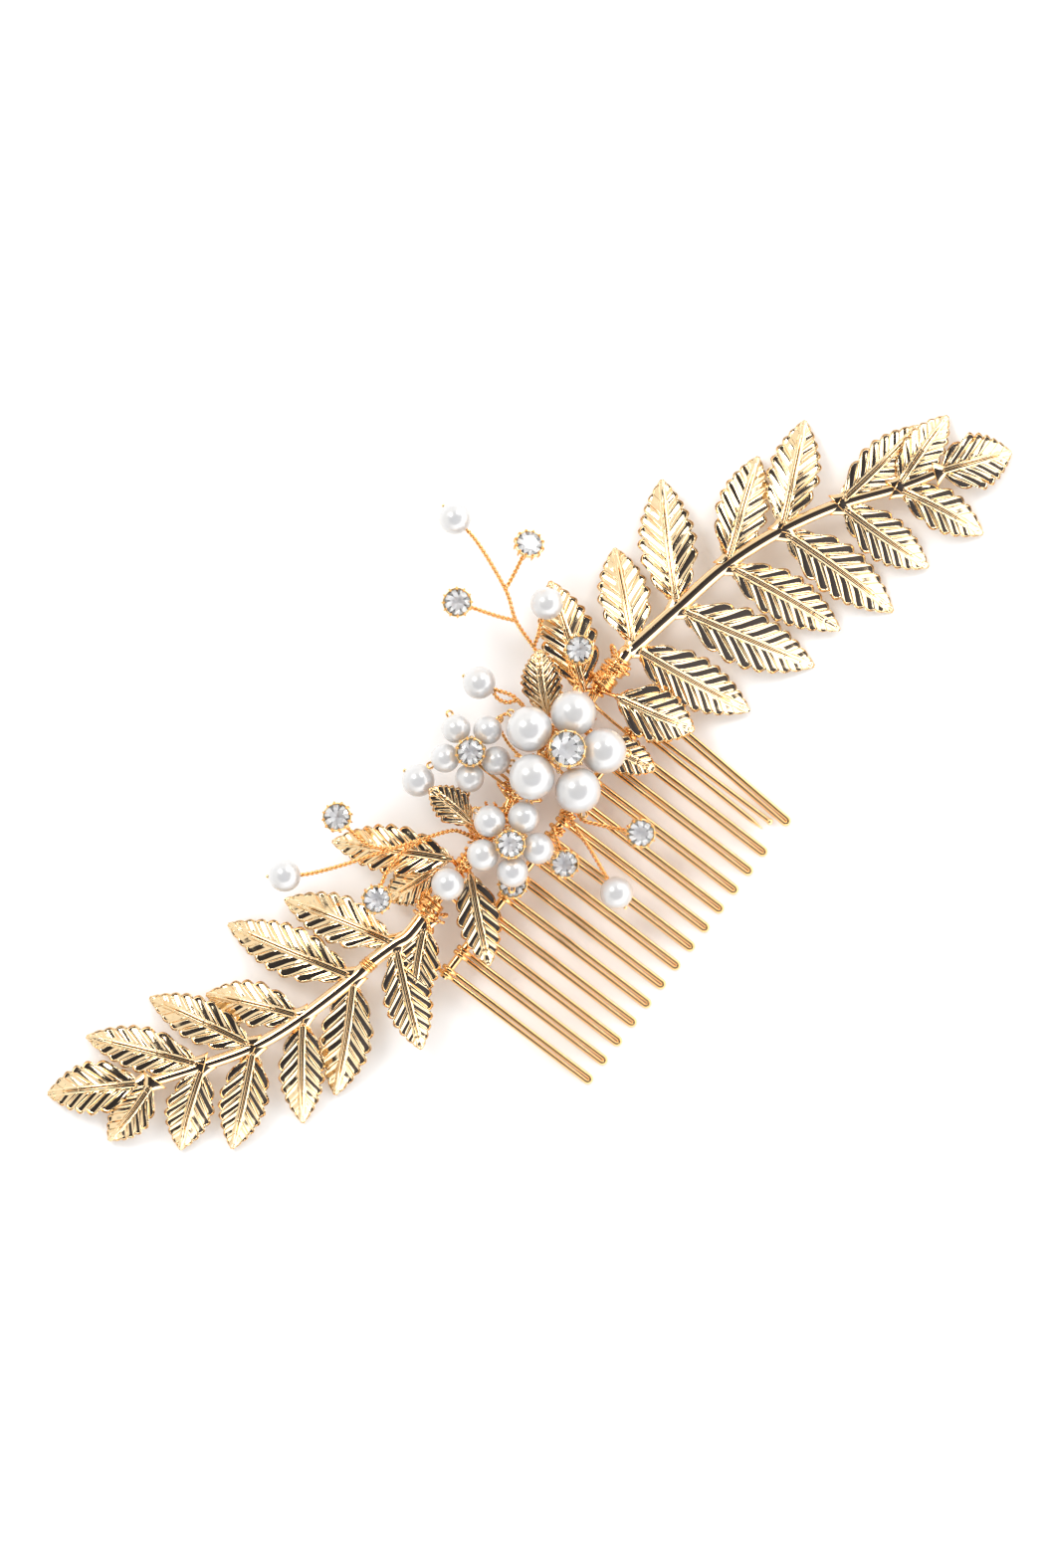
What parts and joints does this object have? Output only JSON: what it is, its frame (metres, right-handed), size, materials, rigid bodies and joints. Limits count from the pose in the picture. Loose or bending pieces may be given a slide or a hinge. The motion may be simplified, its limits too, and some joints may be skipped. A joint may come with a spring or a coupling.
{
  "type": "decorative hair comb",
  "caption": "Wire hair comb carrying two cast leaf branches, pearl flowers, small leaves and bendable wire sprays tipped with pearls and set stones.",
  "frame": {"origin": "middle of the comb's spine bar, on its axis", "axes": "+X along the spine towards the longer branch, -Y along the teeth to their tips, +Z out of the decorated face"},
  "size_m": [0.1972, 0.0845, 0.0205],
  "materials": {
    "comb_gold": "polished gold plate",
    "leaf_gold": "polished gold plate over a cast leaf",
    "gold_wire": "polished gold wire",
    "setting_gold": "polished pale gold plate",
    "pearl": "pearl lustre",
    "crystal": "cut and foil backed"
  },
  "bodies": {
    "comb_body": {"spine_bar": "comb_gold", "comb_teeth": "comb_gold", "opened_tooth": "comb_gold", "core_bundle": "gold_wire", "spine_ties": "gold_wire", "spray_roots": "gold_wire", "right_branch": "leaf_gold", "left_branch": "leaf_gold", "right_binding": "gold_wire", "left_binding": "gold_wire", "left_stem_wrap": "gold_wire", "top_leaf": "leaf_gold", "veined_leaf": "leaf_gold", "right_leaf": "leaf_gold", "crumpled_leaf": "leaf_gold", "left_small_leaf": "leaf_gold", "left_long_leaf": "leaf_gold", "left_under_leaf": "leaf_gold", "bottom_leaf": "leaf_gold", "large_flower_frame": "gold_wire", "large_flower_pearls": "pearl", "large_flower_setting": "setting_gold", "large_flower_stone": "crystal", "left_flower_frame": "gold_wire", "left_flower_pearls": "pearl", "left_flower_setting": "setting_gold", "left_flower_stone": "crystal", "lower_flower_frame": "gold_wire", "lower_flower_pearls": "pearl", "lower_flower_setting": "setting_gold", "lower_flower_stone": "crystal", "low_gem_setting": "setting_gold", "low_gem_stone": "crystal"},
    "top_spray": {"top_spray_wire": "gold_wire", "top_spray_pearls": "pearl", "top_spray_settings": "setting_gold", "top_spray_stones": "crystal"},
    "leaf_gem": {"leaf_gem_wire": "gold_wire", "leaf_gem_setting": "setting_gold", "leaf_gem_stone": "crystal"},
    "upper_pearl_sprig": {"upper_pearl_wire": "gold_wire", "upper_pearl": "pearl"},
    "left_pearl_sprig": {"left_pearl_wire": "gold_wire", "left_pearl": "pearl"},
    "lower_spray": {"lower_spray_wire": "gold_wire", "lower_spray_pearl": "pearl", "lower_spray_settings": "setting_gold", "lower_spray_stones": "crystal"},
    "low_pearl_sprig": {"low_pearl_wire": "gold_wire", "low_pearl": "pearl"},
    "right_gem": {"right_gem_wire": "gold_wire", "right_gem_setting": "setting_gold", "right_gem_stone": "crystal"},
    "right_pearl_sprig": {"right_pearl_wire": "gold_wire", "right_pearl": "pearl"},
    "front_gem": {"front_gem_wire": "gold_wire", "front_gem_setting": "setting_gold", "front_gem_stone": "crystal"}
  },
  "joints": [
    {"name": "top_spray_bend", "type": "hinge", "parent": "comb_body", "child": "top_spray", "pos_m": [0.0244, 0.0209, 0.0032], "axis": [0.9303, -0.3667, 0], "range_deg": [-3, 20]},
    {"name": "leaf_gem_bend", "type": "hinge", "parent": "comb_body", "child": "leaf_gem", "pos_m": [0.0254, 0.0133, 0.0052], "axis": [0.5283, -0.8491, 0], "range_deg": [-4, 20]},
    {"name": "upper_pearl_bend", "type": "hinge", "parent": "comb_body", "child": "upper_pearl_sprig", "pos_m": [0.0162, 0.0194, 0.0046], "axis": [0.9759, 0.2183, 0], "range_deg": [-5, 20]},
    {"name": "left_pearl_swing", "type": "hinge", "parent": "comb_body", "child": "left_pearl_sprig", "pos_m": [-0.0058, 0.0194, 0.0032], "axis": [0, 0, 1], "range_deg": [-2, 10]},
    {"name": "lower_spray_bend", "type": "hinge", "parent": "comb_body", "child": "lower_spray", "pos_m": [-0.0097, 0.015, 0.005], "axis": [0.6078, 0.7941, 0], "range_deg": [-3, 20]},
    {"name": "low_pearl_bend", "type": "hinge", "parent": "comb_body", "child": "low_pearl_sprig", "pos_m": [-0.0132, 0.0096, 0.0056], "axis": [-0.0232, 0.9997, 0], "range_deg": [-4, 15]},
    {"name": "right_gem_bend", "type": "hinge", "parent": "comb_body", "child": "right_gem", "pos_m": [0.0063, -0.0026, 0.004], "axis": [-0.911, -0.4124, 0], "range_deg": [-5, 20]},
    {"name": "right_pearl_bend", "type": "hinge", "parent": "comb_body", "child": "right_pearl_sprig", "pos_m": [0.0043, -0.0028, 0.004], "axis": [-0.9369, 0.3495, 0], "range_deg": [-5, 20]},
    {"name": "front_gem_swing", "type": "hinge", "parent": "comb_body", "child": "front_gem", "pos_m": [0.0019, 0.0007, 0.0044], "axis": [0, 0, 1], "range_deg": [-4, 12]}
  ]
}
